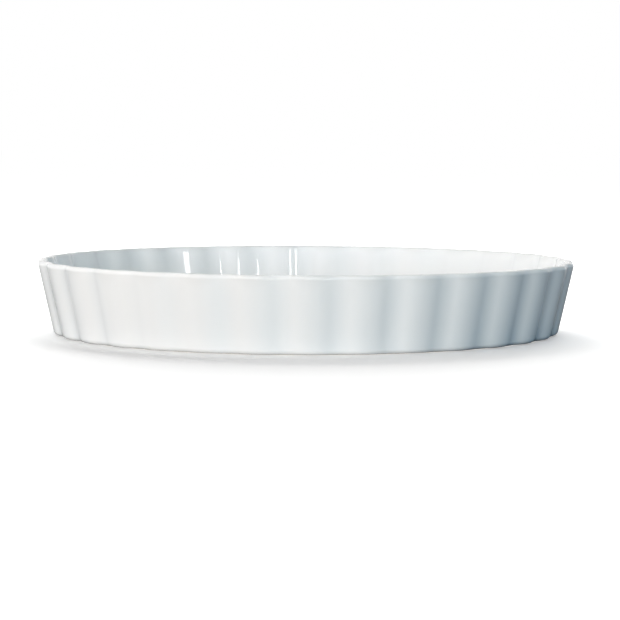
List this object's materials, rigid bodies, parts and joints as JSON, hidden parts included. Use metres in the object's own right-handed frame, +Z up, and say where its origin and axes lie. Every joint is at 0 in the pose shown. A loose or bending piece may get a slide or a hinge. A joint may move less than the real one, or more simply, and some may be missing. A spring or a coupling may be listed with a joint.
{
  "type": "fluted quiche dish",
  "caption": "Round fluted baking dish of white glazed porcelain: shallow wall that leans outwards, rounded lip, flat floor and a bare foot ring.",
  "frame": {"origin": "on the table, under the centre of the dish", "axes": "+Z up along the dish's axis, -Y through the middle of a lobe of the fluted wall"},
  "size_m": [0.3008, 0.3008, 0.0417],
  "materials": {
    "glazed_porcelain": "gloss white glaze",
    "bare_porcelain": "matte, unglazed and ground flat"
  },
  "bodies": {
    "root": {"dish_body": "glazed_porcelain", "foot_ring": "bare_porcelain"}
  },
  "joints": []
}
